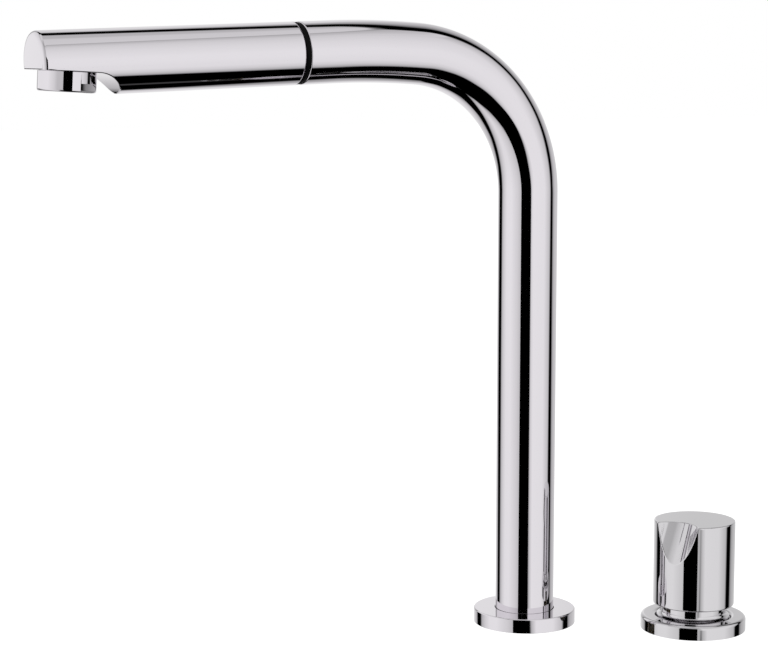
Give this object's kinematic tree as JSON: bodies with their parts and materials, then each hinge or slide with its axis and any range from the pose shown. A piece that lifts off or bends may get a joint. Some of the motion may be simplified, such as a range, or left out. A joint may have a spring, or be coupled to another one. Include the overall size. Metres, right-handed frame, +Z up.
{
  "type": "kitchen mixer tap",
  "caption": "Two-hole kitchen mixer tap: a lowerable swivel spout with a pull-out handset, and a separate round mixer knob with a finger scoop.",
  "frame": {"origin": "centre of the spout's hole, on the worktop's top face", "axes": "+Z up along the riser; the arm points along -X at rest; the mixer knob stands towards +X and -Y"},
  "size_m": [0.3328, 0.0975, 0.3962],
  "materials": {
    "chrome": "polished chrome plate over brass",
    "brass": "machined brass, unplated",
    "steel": "turned stainless steel",
    "rubber": "black moulded rubber",
    "black_plastic": "black moulded acetal",
    "grey_plastic": "grey moulded nylon",
    "white_plastic": "off-white acetal",
    "aerator_plastic": "light grey moulded acetal",
    "blue_plastic": "blue moulded acetal",
    "ceramic": "white lapped ceramic",
    "hose": "grey braided nylon over a rubber hose"
  },
  "bodies": {
    "deck": {"spout_base_ring": "chrome", "spout_base_seal": "rubber", "spout_shank": "brass", "wiper_ring": "rubber", "spout_clamp_gasket": "rubber", "spout_clamp_washer": "steel", "spout_clamp_nut": "brass", "control_base_ring": "chrome", "control_base_seal": "rubber", "valve_body": "brass", "control_clamp_gasket": "rubber", "control_clamp_washer": "steel", "control_clamp_nut": "brass", "cartridge_seal": "rubber", "fixed_disc": "ceramic", "cartridge_body": "white_plastic", "cartridge_nut": "brass", "neck_cover": "chrome"},
    "swivel": {"swivel_liner": "white_plastic"},
    "spout": {"spout_tube": "chrome", "stop_collar": "steel", "stop_collar_screw": "steel", "hose_guide": "black_plastic", "docking_collar": "black_plastic", "hose": "hose", "hose_tail_nut": "brass"},
    "handset": {"handset_shell": "chrome", "handset_waterway": "grey_plastic", "hose_nut": "brass", "check_valve": "blue_plastic", "docking_oring": "rubber", "aerator_housing": "chrome", "aerator_insert": "aerator_plastic", "aerator_seal": "rubber"},
    "rotor": {"mixer_rotor": "white_plastic", "pivot_pin": "steel"},
    "valve_disc": {"moving_disc": "ceramic"},
    "knob": {"control_lever": "steel", "knob_insert": "black_plastic", "knob": "chrome", "knob_screw": "steel"}
  },
  "joints": [
    {"name": "spout_swivel", "type": "hinge", "parent": "deck", "child": "swivel", "pos_m": [0, 0, 0], "axis": [0, 0, 1], "range_deg": [-180, 180]},
    {"name": "spout_lift", "type": "slide", "parent": "swivel", "child": "spout", "axis": [0, 0, 1], "range_m": [-0.197, 0]},
    {"name": "handset_pull", "type": "slide", "parent": "spout", "child": "handset", "axis": [-0.9993, 0, -0.0366], "range_m": [0, 0.45]},
    {"name": "mix_turn", "type": "hinge", "parent": "deck", "child": "rotor", "pos_m": [0.06561, -0.0475, 0], "axis": [0, 0, 1], "range_deg": [-50, 50]},
    {"name": "flow_tilt", "type": "hinge", "parent": "rotor", "child": "knob", "pos_m": [0.06561, -0.0475, 0.015], "axis": [-0.4226, 0.9063, 0], "range_deg": [0, 12]},
    {"name": "disc_slide", "type": "slide", "parent": "rotor", "child": "valve_disc", "axis": [-0.9063, -0.4226, 0], "range_m": [0, 0.0038]}
  ],
  "couplings": [
    {"joint": "disc_slide", "follows": "flow_tilt", "m_per_rad": 0.018}
  ]
}
